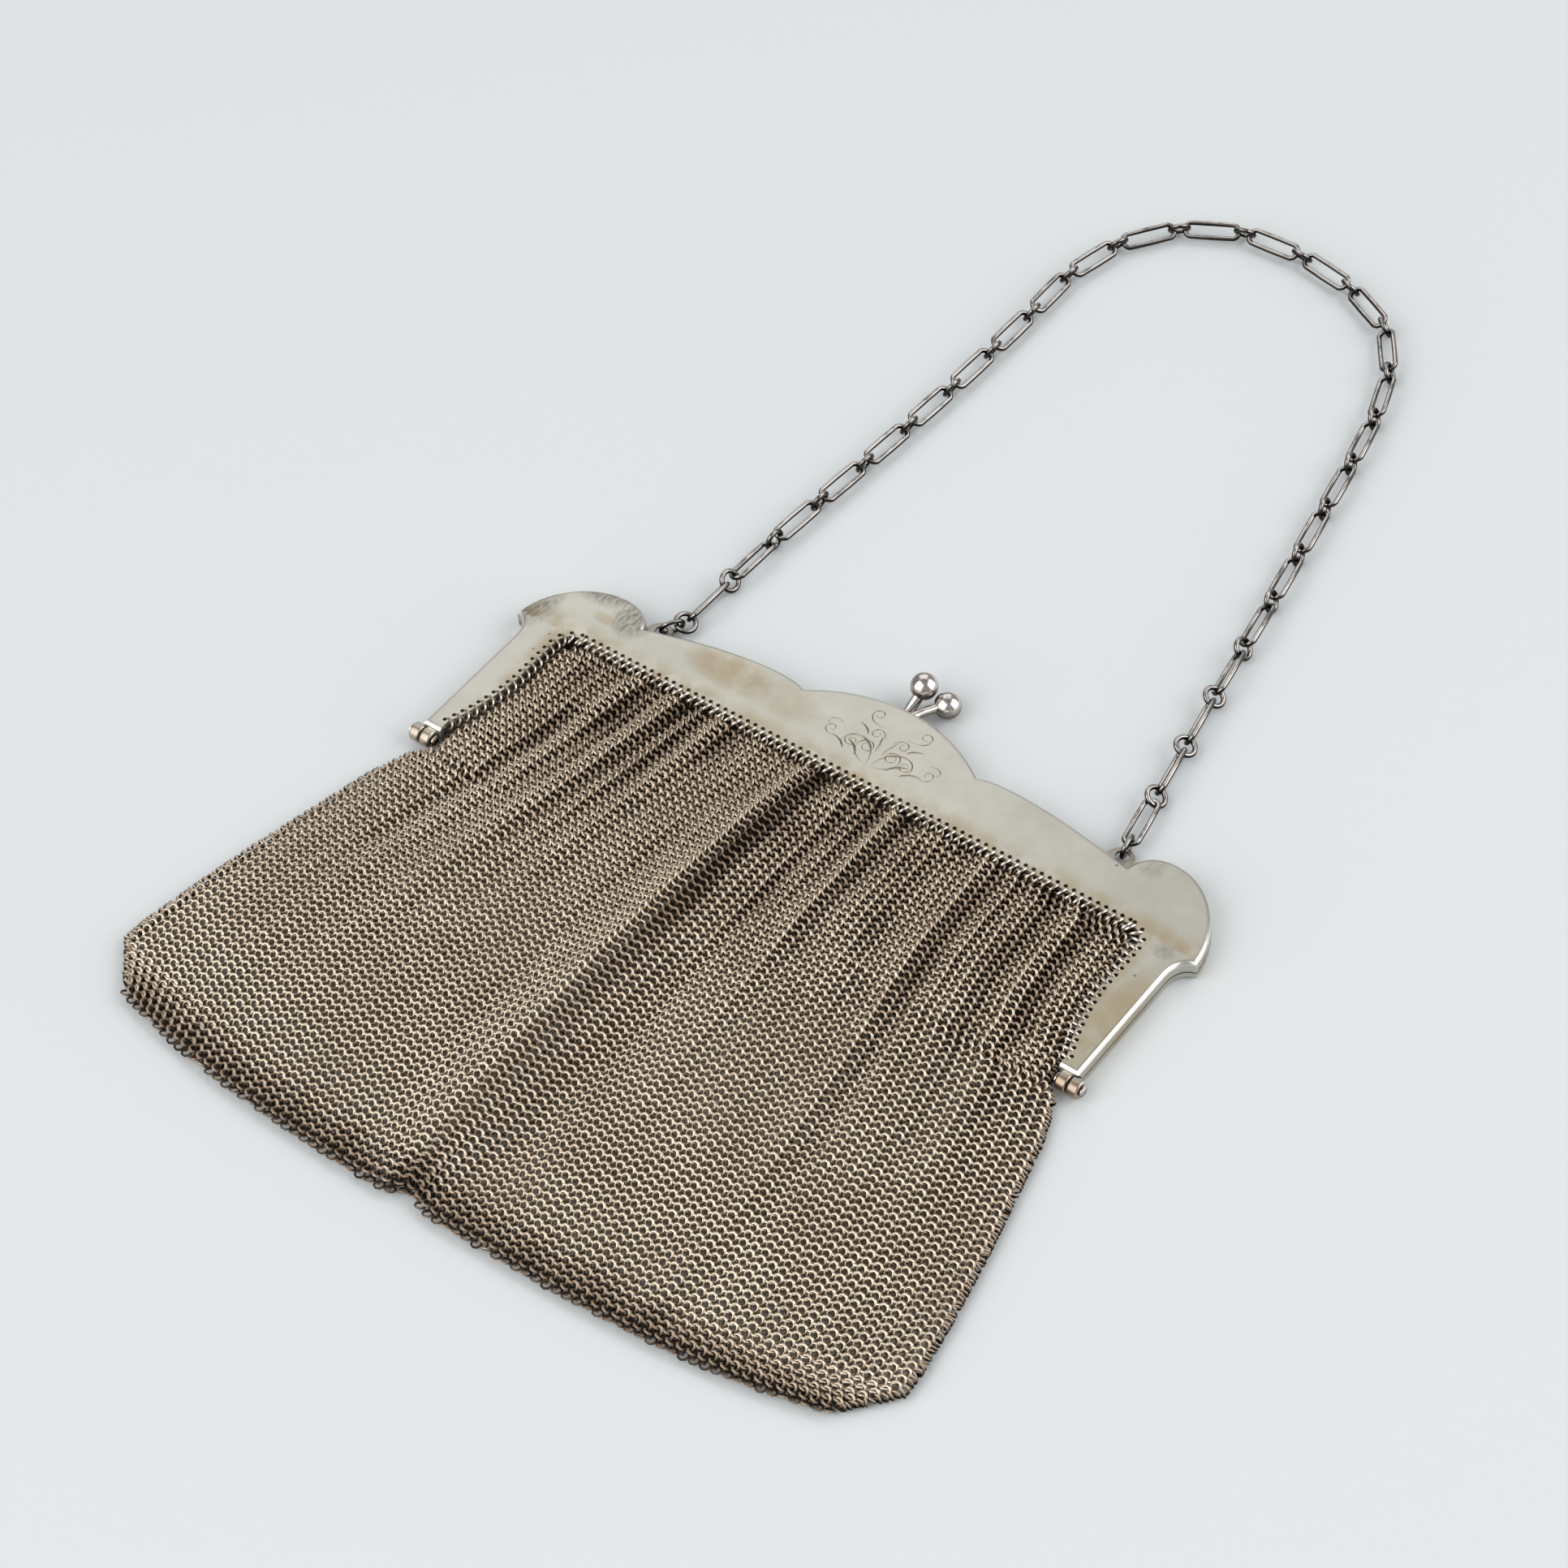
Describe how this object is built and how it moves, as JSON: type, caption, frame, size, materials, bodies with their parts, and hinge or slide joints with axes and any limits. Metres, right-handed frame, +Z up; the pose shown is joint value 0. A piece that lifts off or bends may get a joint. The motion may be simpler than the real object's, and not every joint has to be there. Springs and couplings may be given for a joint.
{
  "type": "metal mesh purse",
  "caption": "Flat ring mesh purse lying on its back: a hinged plate frame with a ball clasp, a gathered mesh bag and a carrying chain of round and oblong links.",
  "frame": {"origin": "centre of the bottom of the part's box, on the surface that the purse lies on", "axes": "+X along the frame towards the front ball's side, +Y from the bag towards the chain, +Z up from the surface"},
  "size_m": [0.1686, 0.2816, 0.008],
  "materials": {
    "frame_silver": "satin nickel silver, slightly tarnished",
    "bright_silver": "polished by handling",
    "mesh_silver": "bright round wire rings, dark in the gaps",
    "chain_silver": "polished wire, darkly tarnished"
  },
  "bodies": {
    "root": {"frame_front": "frame_silver", "frame_back": "frame_silver", "hinge_pin_left": "bright_silver", "hinge_pin_right": "bright_silver", "mesh_bag": "mesh_silver", "lug_ring_left": "chain_silver", "lug_ring_right": "chain_silver", "chain": "chain_silver"}
  },
  "joints": []
}
